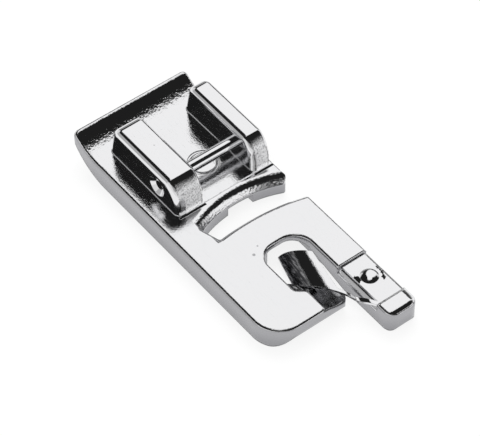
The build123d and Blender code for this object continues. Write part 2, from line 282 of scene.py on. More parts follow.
mask_helpers = (mix, both, within, length, share_of)
print("mask helpers:", [helper.__name__ for helper in mask_helpers])

# %% Tent paint
SCREEN_LEVEL = 1.07
CARD_LEVEL = 0.016
ROOM_FRONT = 1.05
ROOM_LEFT = 0.50
ROOM_REAR = 0.34
ROOM_RIGHT = 0.06
SCREEN_MIDDLE = (0.48, 0.31)
SCREEN_HALF = (0.43, 0.38)
SCREEN_SOFT = 0.08
CARD_EDGE = 0.40
CARD_EDGE_RISE = 0.22
CARD_SOFT = 0.015
FRONT_DOOR = (0.14, 0.78)
DOOR_SOFT = 0.05
LEFT_FADE = (0.0, -0.5)
REAR_FADE = (-0.3, 0.25)
RIGHT_FADE = (0.55, 0.75)

from_middle = length(
    tree,
    share_of(tree, across, SCREEN_MIDDLE[0], SCREEN_HALF[0]),
    share_of(tree, along, SCREEN_MIDDLE[1], SCREEN_HALF[1]),
)
screen = ramp(tree, from_middle, 1 + SCREEN_SOFT, 1 - SCREEN_SOFT)
leftward = ramp(tree, across, *LEFT_FADE)
backward = ramp(tree, along, *REAR_FADE)
rightward = both(tree, ramp(tree, across, *RIGHT_FADE), backward)
door = within(tree, across, *FRONT_DOOR, DOOR_SOFT)
front = mix(tree, door, ROOM_RIGHT, ROOM_FRONT)
rear = mix(tree, leftward, ROOM_REAR, ROOM_LEFT)
room = mix(tree, rightward, mix(tree, backward, front, rear), ROOM_RIGHT)
edge = calc(tree, "MULTIPLY_ADD", leftward, CARD_EDGE_RISE, CARD_EDGE)
below = ramp(tree, calc(tree, "SUBTRACT", upward, edge), CARD_SOFT, -CARD_SOFT)
level = mix(tree, below, mix(tree, screen, CARD_LEVEL, SCREEN_LEVEL), room)
print("screen:", SCREEN_LEVEL, "cards:", CARD_LEVEL, "door:", ROOM_FRONT)

# %% [markdown]
# Seen from the other sides, the flats of the foot would mirror only cards. So white panels hang in
# the directions that the photograph's view hardly uses: straight above, and low down in front, at the
# left, the right and the rear. The one at the front left is grey, because the corners of the ears show
# it in that view too. A panel is given by the two values of X and of Y between which it fades in.

# %% Panels for the other sides
PANEL_LEVEL = 0.85
GREY_PANEL = 0.5
PANEL_TOP = 0.58
FRONT_PANEL_TOP = 0.30
PANEL_SOFT = 0.02
PANEL_FADES = {
    "front left": ((-0.24, -0.32), (-0.20, -0.40)),
    "front": ((0.14, 0.04), (-0.50, -0.70)),
    "left": ((-0.60, -0.75), (0.35, 0.20)),
    "rear": ((0.20, 0.05), (0.72, 0.85)),
}
RIGHT_PANEL_FADE = (0.79, 0.85)
RIGHT_PANEL_SPAN = (-0.08, 0.18)
RIGHT_PANEL_SOFT = 0.06
TOP_PANEL_FADE = (0.20, 0.12)


def panel(side):
    fade_across, fade_along = PANEL_FADES[side]
    return both(tree, ramp(tree, across, *fade_across), ramp(tree, along, *fade_along))


low = ramp(tree, upward, PANEL_TOP + PANEL_SOFT, PANEL_TOP - PANEL_SOFT)
front_low = ramp(tree, upward, FRONT_PANEL_TOP + PANEL_SOFT, FRONT_PANEL_TOP - PANEL_SOFT)
right_span = within(tree, along, *RIGHT_PANEL_SPAN, RIGHT_PANEL_SOFT)
side_panels = (
    both(tree, panel("front left"), GREY_PANEL),
    both(tree, panel("front"), front_low),
    panel("left"),
    both(tree, ramp(tree, across, *RIGHT_PANEL_FADE), right_span),
    panel("rear"),
)
panels = ramp(tree, length(tree, across, along), *TOP_PANEL_FADE)
for side_panel in side_panels:
    panels = calc(tree, "MAXIMUM", panels, both(tree, side_panel, low))
level = calc(tree, "MAXIMUM", level, calc(tree, "MULTIPLY", panels, PANEL_LEVEL))
light = add_node(tree, "ShaderNodeEmission")
feed(tree, light.inputs["Strength"], level)
feed(tree, tree.nodes["Material Output"].inputs["Surface"], light.outputs["Emission"])
tent_mesh.materials.append(tent_paint)
print("panels:", len(side_panels), "at the sides and one above")

# %% [markdown]
# ## World and lamp
# The world is white for camera and mirror rays, so the horizon below the edge of the tent reads as
# the same white background. For all other rays it is a soft grey light from everywhere. One
# broad lamp above adds the little direction that a soft box has. It is hidden from mirror rays,
# because the tent's screen already stands for it there.

# %% World
AMBIENT = 0.72

world = bpy.data.worlds.new("white_studio")
world.use_nodes = True
tree = world.node_tree
sky = tree.nodes["Background"]
sky.inputs["Color"].default_value = (1.0, 1.0, 1.0, 1.0)
feed(tree, sky.inputs["Strength"], ramp(tree, seen_rays(tree), 0.0, 1.0, low=AMBIENT, high=1.0))
bpy.context.scene.world = world
bpy.context.scene.view_settings.view_transform = "Standard"
print("ambient light:", AMBIENT)

# %% Lamp
LAMP_POWER = 3.0
LAMP_SIZE = 0.7
LAMP_PLACE = Vector((0.35, 0.45, 0.75))

lamp_data = bpy.data.lights.new("soft_box", "AREA")
lamp_data.shape = "DISK"
lamp_data.size = LAMP_SIZE
lamp_data.energy = LAMP_POWER
lamp = bpy.data.objects.new("soft_box", lamp_data)
lamp.location = LAMP_PLACE
lamp.rotation_mode = "QUATERNION"
lamp.rotation_quaternion = (-LAMP_PLACE).to_track_quat("-Z", "Y")
lamp.visible_glossy = False
bpy.context.scene.collection.objects.link(lamp)
print("lamp:", LAMP_POWER, "W,", LAMP_SIZE, "m wide")

# %% [markdown]
# ## Smooth shading
# The CAD mesh arrives as one loose patch for each face of the solid. Flat patches are fine, but on
# a mirror the eye sees each kink where a rounded edge meets a flat. Two modifiers mend that and
# leave the mesh itself alone. The first is a small geometry node tree: it joins the patches and
# marks an edge as sharp only where the faces meet at a real angle. The second, Weighted Normal, lets
# the large faces decide the normals along their edges, so flats stay flat up to the last pixel.

# %% Smoothing modifiers
JOIN_DISTANCE = 0.0002 * MM
SHARP_ANGLE = math.radians(28)
LARGE_FACE_WEIGHT = 90


def seam_tree():
    tree = bpy.data.node_groups.new("Join patches", "GeometryNodeTree")
    for way in ("INPUT", "OUTPUT"):
        tree.interface.new_socket("Geometry", in_out=way, socket_type="NodeSocketGeometry")
    start = tree.nodes.new("NodeGroupInput")
    end = tree.nodes.new("NodeGroupOutput")
    weld = tree.nodes.new("GeometryNodeMergeByDistance")
    weld.inputs["Distance"].default_value = JOIN_DISTANCE
    smooth = tree.nodes.new("GeometryNodeSetShadeSmooth")
    sharp = add_node(tree, "GeometryNodeSetShadeSmooth", domain="EDGE")
    sharp.inputs["Shade Smooth"].default_value = False
    angle = tree.nodes.new("GeometryNodeInputMeshEdgeAngle")
    steep = add_node(tree, "FunctionNodeCompare", data_type="FLOAT", operation="GREATER_THAN")
    steep.inputs[1].default_value = SHARP_ANGLE
    tree.links.new(angle.outputs["Unsigned Angle"], steep.inputs[0])
    tree.links.new(steep.outputs["Result"], sharp.inputs["Selection"])
    chain = (start, weld, smooth, sharp, end)
    for earlier, later in zip(chain, chain[1:]):
        tree.links.new(earlier.outputs["Geometry"], later.inputs["Geometry"])
    return tree


join_patches = seam_tree()
for piece in nodes.values():
    joined = piece.modifiers.new("join_patches", "NODES")
    joined.node_group = join_patches
    weighted = piece.modifiers.new("weighted_normals", "WEIGHTED_NORMAL")
    weighted.mode = "FACE_AREA"
    weighted.weight = LARGE_FACE_WEIGHT
    weighted.keep_sharp = True
print("smoothed", len(nodes), "nodes")

# %% [markdown]
# ## Helpers for shared finishes
# The next cells build node groups. A group has named sockets, so it stays readable in Blender's own
# editor, and each material uses it with its own values. All finishes are laid out by the object
# coordinates, which are places on the part itself, so they stay where they are when it is turned.

# %% Group and texture helpers
def new_group(name, inputs, outputs):
    group = bpy.data.node_groups.new(name, "ShaderNodeTree")
    for label, kind, value in inputs:
        socket = group.interface.new_socket(label, in_out="INPUT", socket_type=kind)
        socket.default_value = value
    for label, kind in outputs:
        group.interface.new_socket(label, in_out="OUTPUT", socket_type=kind)
    return group, group.nodes.new("NodeGroupInput"), group.nodes.new("NodeGroupOutput")


def place_group(tree, group, **values):
    made = add_node(tree, "ShaderNodeGroup", node_tree=group)
    for label, value in values.items():
        feed(tree, made.inputs[label.replace("_", " ")], value)
    return made.outputs


def part_place(tree):
    return add_node(tree, "ShaderNodeTexCoord").outputs["Object"]


def stretched(tree, place, degrees, scale):
    made = add_node(tree, "ShaderNodeMapping")
    made.inputs["Rotation"].default_value = (0.0, 0.0, math.radians(degrees))
    made.inputs["Scale"].default_value = scale
    feed(tree, made.inputs["Vector"], place)
    return made.outputs["Vector"]


def noise(tree, place, scale, detail=2.0):
    made = add_node(tree, "ShaderNodeTexNoise")
    made.inputs["Detail"].default_value = detail
    feed(tree, made.inputs["Vector"], place)
    feed(tree, made.inputs["Scale"], scale)
    return made.outputs["Fac"]


finish_helpers = (new_group, place_group, part_place, stretched, noise)
print("finish helpers:", [helper.__name__ for helper in finish_helpers])

# %% [markdown]
# ## Shared finish: plating ripple
# Chrome is laid on in a bath and copies the casting below it. Up close the surface has a fine
# ripple, a tenth to a quarter of a millimetre from crest to crest, and it breaks the border of every
# mirrored card into a grainy edge. A noise texture as a bump gives that. It is a node group
# because every plated piece has it, in its own size.

# %% Plating ripple group
def build_ripple():
    group, start, end = new_group(
        "Plating ripple",
        [
            ("Ripple Size", "NodeSocketFloat", 0.12),
            ("Grain Size", "NodeSocketFloat", 0.05),
            ("Grain Share", "NodeSocketFloat", 0.3),
        ],
        [("Height", "NodeSocketFloat")],
    )
    place = part_place(group)
    heights = []
    for label in ("Ripple Size", "Grain Size"):
        scale = calc(group, "DIVIDE", 1.0 / MM, start.outputs[label])
        heights.append(noise(group, place, scale))
    height = calc(group, "MULTIPLY_ADD", heights[1], start.outputs["Grain Share"], heights[0])
    feed(group, end.inputs["Height"], height)
    return group


ripple_group = build_ripple()
print("group:", ripple_group.name)

# %% [markdown]
# ## Shared finish: hairlines
# Feet are handled with tweezers and screwdrivers, and fabric drags over them, so the plate has faint
# hairline scratches. Noise that is stretched far in one direction and cut to its highest values
# leaves just a few thin lines. Two sets cross at an angle.

# %% Hairlines group
HAIRLINE_STRETCH = 45.0
HAIRLINE_UPRIGHT = 0.3
HAIRLINE_TURNS = (62.0, -24.0)
HAIRLINE_SHARPNESS = 14.0


def build_hairlines():
    group, start, end = new_group(
        "Hairlines",
        [
            ("Spacing", "NodeSocketFloat", 0.06),
            ("Rarity", "NodeSocketFloat", 0.68),
        ],
        [("Mask", "NodeSocketFloat")],
    )
    place = part_place(group)
    scale = calc(group, "DIVIDE", 1.0 / MM, start.outputs["Spacing"])
    masks = []
    for degrees in HAIRLINE_TURNS:
        drawn_out = stretched(group, place, degrees, (1.0, 1.0 / HAIRLINE_STRETCH, HAIRLINE_UPRIGHT))
        height = noise(group, drawn_out, scale, detail=1.0)
        past = calc(group, "SUBTRACT", height, start.outputs["Rarity"])
        masks.append(calc(group, "MULTIPLY", past, HAIRLINE_SHARPNESS, clamp=True))
    feed(group, end.inputs["Mask"], calc(group, "MAXIMUM", *masks))
    return group


hairlines_group = build_hairlines()
print("group:", hairlines_group.name)

# %% [markdown]
# ## Shared finish: casting pits
# A die casting has small pores, and some of them show through the plating as grey specks. A Voronoi
# texture scatters one point in each cell. The cell's random colour picks the few cells that have a
# pit, and the distance from the point gives it a soft round form.

# %% Casting pits group
def build_pits():
    group, start, end = new_group(
        "Casting pits",
        [
            ("Cell Size", "NodeSocketFloat", 1.1),
            ("Pit Radius", "NodeSocketFloat", 0.14),
            ("Rarity", "NodeSocketFloat", 0.8),
        ],
        [("Mask", "NodeSocketFloat")],
    )
    cells = add_node(group, "ShaderNodeTexVoronoi")
    feed(group, cells.inputs["Vector"], part_place(group))
    feed(group, cells.inputs["Scale"], calc(group, "DIVIDE", 1.0 / MM, start.outputs["Cell Size"]))
    distance = calc(group, "MULTIPLY", cells.outputs["Distance"], start.outputs["Cell Size"])
    share = calc(group, "DIVIDE", distance, start.outputs["Pit Radius"])
    round_pit = calc(group, "SUBTRACT", 1.0, share, clamp=True)
    draw = add_node(group, "ShaderNodeSeparateColor")
    feed(group, draw.inputs["Color"], cells.outputs["Color"])
    chosen = calc(group, "GREATER_THAN", draw.outputs["Red"], start.outputs["Rarity"])
    feed(group, end.inputs["Mask"], calc(group, "MULTIPLY", round_pit, chosen))
    return group


pits_group = build_pits()
print("group:", pits_group.name)

# %% [markdown]
# ## Shared finish: worn edges
# Along each edge the plating is polished thin by handling, and corners are never perfectly sharp. The
# Bevel node answers with the normal of a slightly rounded copy of the mesh. Where that differs from the
# true normal there is an edge, which gives a mask, and the difference itself, taken a little larger
# than it is, rounds the edge over a wider strip. The group gives both.

# %% Worn edges group
EDGE_SAMPLES = 32
EDGE_MATCH = (0.995, 0.9)


def build_edges():
    group, start, end = new_group(
        "Worn edges",
        [("Radius", "NodeSocketFloat", 0.06), ("Reach", "NodeSocketFloat", 1.0)],
        [("Normal", "NodeSocketVector"), ("Mask", "NodeSocketFloat")],
    )
    bevel = add_node(group, "ShaderNodeBevel", samples=EDGE_SAMPLES)
    feed(group, bevel.inputs["Radius"], calc(group, "MULTIPLY", start.outputs["Radius"], MM))
    rounded = bevel.outputs["Normal"]
    true_normal = add_node(group, "ShaderNodeNewGeometry").outputs["Normal"]
    change = vector_calc(group, "SUBTRACT", rounded, true_normal)
    larger = vector_calc(group, "SCALE", change, start.outputs["Reach"])
    bent = vector_calc(group, "ADD", true_normal, larger)
    feed(group, end.inputs["Normal"], vector_calc(group, "NORMALIZE", bent))
    match = vector_calc(group, "DOT_PRODUCT", rounded, true_normal)
    feed(group, end.inputs["Mask"], ramp(group, match, *EDGE_MATCH))
    return group


edges_group = build_edges()
print("group:", edges_group.name)

# %% [markdown]
# ## Shared finish: where on the part
# Several finishes depend on the place: a wall is dull, a flat is polished. The CAD pieces stand in
# the part's own frame, so the object coordinates are places on the foot. The group gives them in
# millimetres, with the three parts of the surface's direction beside them.

# %% Where on the part group
PLACES = ("X", "Y", "Z")
FACINGS = ("Right", "Back", "Up")


def build_where():
    outputs = [(label, "NodeSocketFloat") for label in PLACES + FACINGS]
    group, _, end = new_group("Where on the part", [], outputs)
    place = vector_calc(group, "SCALE", part_place(group), 1.0 / MM)
    facing = add_node(group, "ShaderNodeNewGeometry").outputs["Normal"]
    for source, labels in ((place, PLACES), (facing, FACINGS)):
        axes = add_node(group, "ShaderNodeSeparateXYZ")
        feed(group, axes.inputs[0], source)
        for axis, label in zip("XYZ", labels):
            feed(group, end.inputs[label], axes.outputs[axis])
    return group


where_group = build_where()


def offset(tree, where, x, y):
    return calc(tree, "SUBTRACT", where["X"], x), calc(tree, "SUBTRACT", where["Y"], y)


print("group:", where_group.name)

# %% [markdown]
# ## Shared finish: plated metal
# The plated pieces are all put together in the same way, so one class starts each material with the
# common parts, lets the next cells change them, and then joins them. Chrome is a metal, so Metallic
# is 1 and the base colour is what it mirrors back, about four fifths of the light. Ripple and hairlines
# go into one Bump node, and pits and worn edges change the colour and the roughness a little. Three
# small functions mix colours, mix normals and lean a normal to one side.

# %% Colours and normals
def blend_colour(tree, share, first, second):
    made = add_node(tree, "ShaderNodeMix", data_type="RGBA")
    feed(tree, made.inputs["Factor"], share)
    feed(tree, made.inputs["A"], first)
    feed(tree, made.inputs["B"], second)
    return made.outputs["Result"]


def blend_normal(tree, share, first, second):
    made = add_node(tree, "ShaderNodeMix", data_type="VECTOR")
    feed(tree, made.inputs["Factor"], share)
    feed(tree, made.inputs[4], first)
    feed(tree, made.inputs[5], second)
    return made.outputs[1]


def lean(tree, normal, share, direction):
    push = vector_calc(tree, "SCALE", direction, share)
    return vector_calc(tree, "NORMALIZE", vector_calc(tree, "ADD", normal, push))


print("surface helpers:", [helper.__name__ for helper in (blend_colour, blend_normal, lean)])

# %% Plated metal
CHROME = (0.79, 0.79, 0.80, 1.0)
CHROME_DULL = (0.30, 0.30, 0.31, 1.0)
CHROME_ROUGHNESS = 0.05
LINE_DULLNESS = 0.05
PIT_DULLNESS = 0.8
DULL_ROUGHNESS = 0.25
EDGE_ROUGHNESS = 0.05
LINE_HEIGHT = -0.1
PIT_HEIGHT = -1.0


class Plated:
    def __init__(self, name, ripple_size, ripple_depth, pit_rarity, edge_radius, edge_reach=1.0):
        self.material = bpy.data.materials.new(name)
        self.material.use_nodes = True
        self.tree = tree = self.material.node_tree
        self.metal = tree.nodes["Principled BSDF"]
        self.metal.inputs["Metallic"].default_value = 1.0
        self.where = place_group(tree, where_group)
        self.ripple = place_group(tree, ripple_group, Ripple_Size=ripple_size)["Height"]
        self.lines = place_group(tree, hairlines_group)["Mask"]
        self.pits = place_group(tree, pits_group, Rarity=pit_rarity)["Mask"]
        edge = place_group(tree, edges_group, Radius=edge_radius, Reach=edge_reach)
        self.normal = edge["Normal"]
        self.edge = edge["Mask"]
        self.ripple_depth = ripple_depth
        self.colour = CHROME
        self.rough = CHROME_ROUGHNESS

    def finish(self, node):
        tree = self.tree
        dull_pits = calc(tree, "MULTIPLY", self.pits, PIT_DULLNESS)
        dull = calc(tree, "MULTIPLY_ADD", self.lines, LINE_DULLNESS, dull_pits, clamp=True)
        feed(tree, self.metal.inputs["Base Color"], blend_colour(tree, dull, self.colour, CHROME_DULL))
        rough = calc(tree, "MULTIPLY_ADD", dull, DULL_ROUGHNESS, self.rough)
        rough = calc(tree, "MULTIPLY_ADD", self.edge, EDGE_ROUGHNESS, rough)
        feed(tree, self.metal.inputs["Roughness"], rough)
        bump = add_node(tree, "ShaderNodeBump")
        bump.inputs["Strength"].default_value = 1.0
        bump.inputs["Distance"].default_value = self.ripple_depth * MM
        height = calc(tree, "MULTIPLY_ADD", self.lines, LINE_HEIGHT, self.ripple)
        height = calc(tree, "MULTIPLY_ADD", self.pits, PIT_HEIGHT, height)
        feed(tree, bump.inputs["Height"], height)
        feed(tree, bump.inputs["Normal"], self.normal)
        feed(tree, self.metal.inputs["Normal"], bump.outputs["Normal"])
        nodes[node].data.materials.clear()
        nodes[node].data.materials.append(self.material)
        print("material:", self.material.name)


print("chrome mirrors back", CHROME[:3])

# %% [markdown]
# ## Casting
# The body is chrome over a zinc die casting. Its top was polished before plating, and the walls were
# left as they came out of the die, so they are dull and mirror nothing sharply. Their grey colour is
# painted shade, darker towards the table. The direction of the surface tells the two apart. The rolled
# lip behind the needle slot is an exception: it is steep and still polished, so a box round it takes it
# out of the mask. Here and in the next cells a pair of numbers that goes into a ramp is a soft border:
# the mask is 0 at the first value and 1 at the second.

# %% Casting walls
half_width, rear_tip = (side / MM for side in cad_box[1][:2])
PLATE_TOP = 2.75
WALL_TURN = (0.70, 0.45)
WALL_TOP = (PLATE_TOP + 0.02, PLATE_TOP - 0.08)
SIDE_RIM = (half_width - 0.5, half_width - 0.3)
REAR_RIM = (rear_tip - 0.5, rear_tip - 0.2)
LIP_LEFT = (-4.45, -4.25)
LIP_FRONT, LIP_BACK = 2.0, 5.0
LIP_FOOT = (1.35, 1.55)
BOX_SOFT = 0.1

cast = Plated(
    "cast_chrome",
    ripple_size=0.24,
    ripple_depth=0.012,
    pit_rarity=0.95,
    edge_radius=0.5,
    edge_reach=1.4,
)
tree, where = cast.tree, cast.where
lip = both(
    tree,
    ramp(tree, where["X"], *LIP_LEFT),
    within(tree, where["Y"], LIP_FRONT, LIP_BACK, BOX_SOFT),
    ramp(tree, where["Z"], *LIP_FOOT),
)
outer = ramp(tree, calc(tree, "ABSOLUTE", where["X"]), *SIDE_RIM)
rim = calc(tree, "MAXIMUM", outer, ramp(tree, where["Y"], *REAR_RIM))
rim_or_wall = calc(tree, "MAXIMUM", ramp(tree, where["Z"], *WALL_TOP), rim)
steep = ramp(tree, where["Up"], *WALL_TURN)
wall = both(tree, steep, rim_or_wall, calc(tree, "SUBTRACT", 1.0, lip))
print("walls below", PLATE_TOP, "mm, lip from", LIP_FRONT, "to", LIP_BACK, "mm")

# %% [markdown]
# Three places have other edges than the rest. The roots of the ears have a smaller fillet, and the
# tops of the ears and the lip stay crisp, so there the true normal of the mesh takes over. Polishing
# flattened the lower half of the lip, and leaning the normals up there shows the white door down to
# its edge.

# %% Ear roots and lip
ROOT_RADIUS = 0.2
ROOTS_LEFT = (-6.5, -6.2)
ROOTS_FRONT, ROOTS_BACK = 3.8, 17.8
EAR_TOPS = (3.5, 3.8)
EAR_TOPS_BACK = (17.5, 17.3)
LIP_STEEPEST = 0.62
LIP_LIFT = 1.22

roots_span = within(tree, where["Y"], ROOTS_FRONT, ROOTS_BACK, BOX_SOFT)
near_ears = both(tree, ramp(tree, where["X"], *ROOTS_LEFT), roots_span)
roots = place_group(tree, edges_group, Radius=ROOT_RADIUS)["Normal"]
cast.normal = blend_normal(tree, near_ears, cast.normal, roots)
ear_tops = both(tree, ramp(tree, where["Z"], *EAR_TOPS), ramp(tree, where["Y"], *EAR_TOPS_BACK))
true_normal = add_node(tree, "ShaderNodeNewGeometry").outputs["Normal"]
cast.normal = blend_normal(tree, calc(tree, "MAXIMUM", lip, ear_tops), cast.normal, true_normal)
too_steep = calc(tree, "MAXIMUM", calc(tree, "SUBTRACT", LIP_STEEPEST, where["Up"]), 0.0)
cast.normal = lean(tree, cast.normal, both(tree, lip, too_steep, LIP_LIFT), (0.0, 0.0, 1.0))
print("ear roots:", ROOT_RADIUS, "mm fillet")

# %% [markdown]
# The front faces of the ears are as cast too, but they face the light table, so they read as a pale,
# speckled skin. A fine noise gives the speckle to colour and height. The ears' tops are the most
# polished place of all, and there the ripple is nearly gone.

# %% Ear faces
SKIN_DEPTH = 2.0
SPECKLE_SIZE = 0.17
EARS_FOOT = (3.0, 3.5)
EARS_BACK = (17.4, 17.2)
FACING_FRONT = (-0.60, -0.72)
FACING_ASIDE = (0.40, 0.28)
POLISHED_RIPPLE = 0.15

ears = both(tree, ramp(tree, where["Z"], *EARS_FOOT), ramp(tree, where["Y"], *EARS_BACK))
to_side = calc(tree, "ABSOLUTE", where["Right"])
skin = both(tree, ears, ramp(tree, where["Back"], *FACING_FRONT), ramp(tree, to_side, *FACING_ASIDE))
speckle = noise(tree, part_place(tree), 1.0 / (SPECKLE_SIZE * MM))
polished = calc(tree, "SUBTRACT", ears, skin)
smoothed = calc(tree, "MULTIPLY", cast.ripple, POLISHED_RIPPLE)
cast.ripple = mix(tree, polished, cast.ripple, smoothed)
cast.ripple = calc(tree, "MULTIPLY_ADD", both(tree, skin, speckle), SKIN_DEPTH, cast.ripple)
print("speckle:", SPECKLE_SIZE, "mm")

# %% Colours of walls, with painted shade, and ear faces
SKIN_GREY = (0.82, 0.82, 0.83, 1.0)
SKIN_DARK = (0.46, 0.46, 0.47, 1.0)
SPECKLE_FADE = (0.52, 0.36)
SKIN_ROUGHNESS = 0.25
WALL_SHADED_GREY = (0.39, 0.39, 0.405, 1.0)
WALL_FOOT_SHADE = (0.33, 0.33, 0.345, 1.0)
WALL_SHADE = (0.2, 2.2)
WALL_ROUGHNESS = 0.26

skin_colour = blend_colour(tree, ramp(tree, speckle, *SPECKLE_FADE), SKIN_GREY, SKIN_DARK)
# painted shade: the walls' colour is darker than the chrome, and darkest near the table
wall_shade_colour = blend_colour(tree, ramp(tree, where["Z"], *WALL_SHADE), WALL_FOOT_SHADE, WALL_SHADED_GREY)
cast.colour = blend_colour(tree, wall, CHROME, wall_shade_colour)
cast.colour = blend_colour(tree, skin, cast.colour, skin_colour)
rough = calc(tree, "MULTIPLY_ADD", wall, WALL_ROUGHNESS - CHROME_ROUGHNESS, CHROME_ROUGHNESS)
cast.rough = calc(tree, "MULTIPLY_ADD", skin, SKIN_ROUGHNESS, rough)
print("wall grey:", WALL_SHADED_GREY[:3])

# %% [markdown]
# Flats can be polished on a wheel, but the rolled lip and the upturned back are polished by hand, and
# there the plating stays grainy. A second noise, a little coarser than the ripple, is added on curved
# places only. It breaks up the border between black and white.

# %% Grain of the curved places
GRAIN_SIZE = 0.30
GRAIN_DEPTH = 2.2
UPTURN = (16.8, 17.4)
CURVING = (0.995, 0.95)

grain = noise(tree, part_place(tree), 1.0 / (GRAIN_SIZE * MM), detail=1.0)
lip_or_upturn = calc(tree, "MAXIMUM", lip, ramp(tree, where["Y"], *UPTURN))
curved = both(tree, lip_or_upturn, ramp(tree, where["Up"], *CURVING))
cast.ripple = calc(tree, "MULTIPLY_ADD", both(tree, curved, grain), GRAIN_DEPTH, cast.ripple)
print("grain:", GRAIN_SIZE, "mm")

# %% [markdown]
# The near edge of the needle slot was rounded by hand, so the plate falls away towards it over
# half a millimetre. The edge is an arc, and the distance from it drives the lean.

# %% Near edge of the slot
SLOT_EDGE_RADIUS = 28.0
SLOT_EDGE_Y = -0.45
SLOT_ROUNDING = (0.6, 0.1)
SLOT_FOOT = (2.1, 2.3)
SLOT_LEFT = (-4.3, -4.1)
SLOT_BACK = (0.6, 0.4)
SLOT_LEAN = 0.42

square = calc(tree, "MULTIPLY", where["X"], where["X"])
arc_height = calc(tree, "SQRT", calc(tree, "SUBTRACT", SLOT_EDGE_RADIUS ** 2, square))
edge_y = calc(tree, "ADD", arc_height, SLOT_EDGE_Y - SLOT_EDGE_RADIUS)
slot_edge = both(
    tree,
    ramp(tree, calc(tree, "SUBTRACT", edge_y, where["Y"]), *SLOT_ROUNDING),
    ramp(tree, where["Z"], *SLOT_FOOT),
    ramp(tree, where["X"], *SLOT_LEFT),
    ramp(tree, where["Y"], *SLOT_BACK),
)
cast.normal = lean(tree, cast.normal, slot_edge, (0.0, SLOT_LEAN, 0.0))
print("slot edge:", SLOT_EDGE_RADIUS, "mm arc")

# %% [markdown]
# At the front foot of each ear the casting has a small fillet, which mirrors the black card in front.

# %% Front feet of the ears
LEFT_EAR_FOOT = (-5.4, -1.75)
LEFT_EAR_SOFT = 0.05
RIGHT_EAR_FOOT = (5.1, 5.2)
EAR_FEET_FRONT, EAR_FEET_BACK = 4.1, 4.42
EAR_FEET_SOFT = 0.06
EAR_FEET_LEAN = 0.75
FLAT_TOP = (0.8, 0.9)

left_foot = within(tree, where["X"], *LEFT_EAR_FOOT, LEFT_EAR_SOFT)
either_foot = calc(tree, "MAXIMUM", left_foot, ramp(tree, where["X"], *RIGHT_EAR_FOOT))
feet_span = within(tree, where["Y"], EAR_FEET_FRONT, EAR_FEET_BACK, EAR_FEET_SOFT)
ear_feet = both(tree, either_foot, feet_span, ramp(tree, where["Up"], *FLAT_TOP))
cast.normal = lean(tree, cast.normal, ear_feet, (0.0, -EAR_FEET_LEAN, 0.0))
print("ear feet from", EAR_FEET_FRONT, "to", EAR_FEET_BACK, "mm")

# %% [markdown]
# The ledge beside the mouth is a shallow trough: its floor leans to the right, and so it mirrors the
# dark side of the room, and its colour is darkened as painted shade, since it lies in a recess. Two
# pores in the plate near the mouth show as grey spots.

# %% Ledge and pores
LEDGE_SHADE_GREY = (0.36, 0.36, 0.37, 1.0)
LEDGE_FLAT = (0.5, 0.7)
LEDGE_TOP = (2.65, 2.58)
LEDGE_BACK = (-9.6, -9.9)
LEDGE_RIGHT = (3.4, 3.2)
LEDGE_LEAN = 0.30
PORES = ((-2.15, -4.85, 0.17), (-1.05, -4.1, 0.09))
PORE_SOFT = 0.09

ledge = both(
    tree,
    ramp(tree, where["Up"], *LEDGE_FLAT),
    ramp(tree, where["Z"], *LEDGE_TOP),
    ramp(tree, where["Y"], *LEDGE_BACK),
    ramp(tree, where["X"], *LEDGE_RIGHT),
)
cast.normal = lean(tree, cast.normal, ledge, (LEDGE_LEAN, 0.0, 0.0))
# painted shade: the ledge's colour is darkened because it lies in a recess beside the mouth
cast.colour = blend_colour(tree, ledge, cast.colour, LEDGE_SHADE_GREY)
for pore_x, pore_y, radius in PORES:
    distance = length(tree, *offset(tree, where, pore_x, pore_y))
    pore = ramp(tree, distance, radius + PORE_SOFT, radius - PORE_SOFT)
    cast.pits = calc(tree, "MAXIMUM", cast.pits, pore)
print("pores:", len(PORES))

# %% [markdown]
# Fabric has to slide up the end of the right toe, so that end was rounded more than the other edges.
# The top falls away over a millimetre to the front and to the right. Where both leans meet, they
# add up, and so the white top gets a round corner.

# %% Rounded toe
toe_front = cad_box[0][1] / MM
TOE_BACK = (toe_front + 2.5, toe_front + 2.3)
TOE_LEFT = (3.9, 4.1)
TOE_ROUNDING = (1.0, 0.5)
TOE_LEAN = 0.46

toe_top = both(tree, ramp(tree, where["Y"], *TOE_BACK), ramp(tree, where["X"], *TOE_LEFT))
toe_top = both(tree, toe_top, ramp(tree, where["Up"], *FLAT_TOP))
to_front = ramp(tree, where["Y"], *(toe_front + rounding for rounding in TOE_ROUNDING))
to_right = ramp(tree, where["X"], *(half_width - rounding for rounding in TOE_ROUNDING))
cast.normal = lean(tree, cast.normal, both(tree, toe_top, to_front), (0.0, -TOE_LEAN, 0.0))
cast.normal = lean(tree, cast.normal, both(tree, toe_top, to_right), (TOE_LEAN, 0.0, 0.0))
cast.finish("foot_body")

# %% [markdown]
# ## Pin
# The pin is ground steel with a thin plate, smoother than the casting.

# %% Pin material
pin = Plated("pin_chrome", ripple_size=0.10, ripple_depth=0.002, pit_rarity=0.97, edge_radius=0.03)
pin.finish("cross_pin")

# %% [markdown]
# ## Hemming scroll
# The scroll is bent from polished sheet. Where the rivet was pressed in, the sheet gave way a little:
# at the left edge of the tab, and in a broken ring on the right of the rivet. These dents lean to the
# left, so each mirrors the black card. A noise that is added to the distance makes them uneven.

# %% Dents in the tab
rivet_sides = list(zip(*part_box("scroll_rivet")))
RIVET_X, RIVET_Y = ((low_side + high_side) / 2 / MM for low_side, high_side in rivet_sides[:2])
EDGE_DENT_X, EDGE_DENT_Y = 4.62, -14.35
EDGE_DENT_RADIUS = 0.52
EDGE_DENT_SOFT = 0.12
RING_INSIDE, RING_OUTSIDE = 1.42, 1.75
RING_SOFT = 0.06
RING_LEFT = (0.75, 1.1)
RING_BACK = (0.9, 0.5)
TAB_TOP = (0.8, 0.95)
WOBBLE_SIZE = 0.35
WOBBLE = 0.8
DENT_LEAN = 0.42

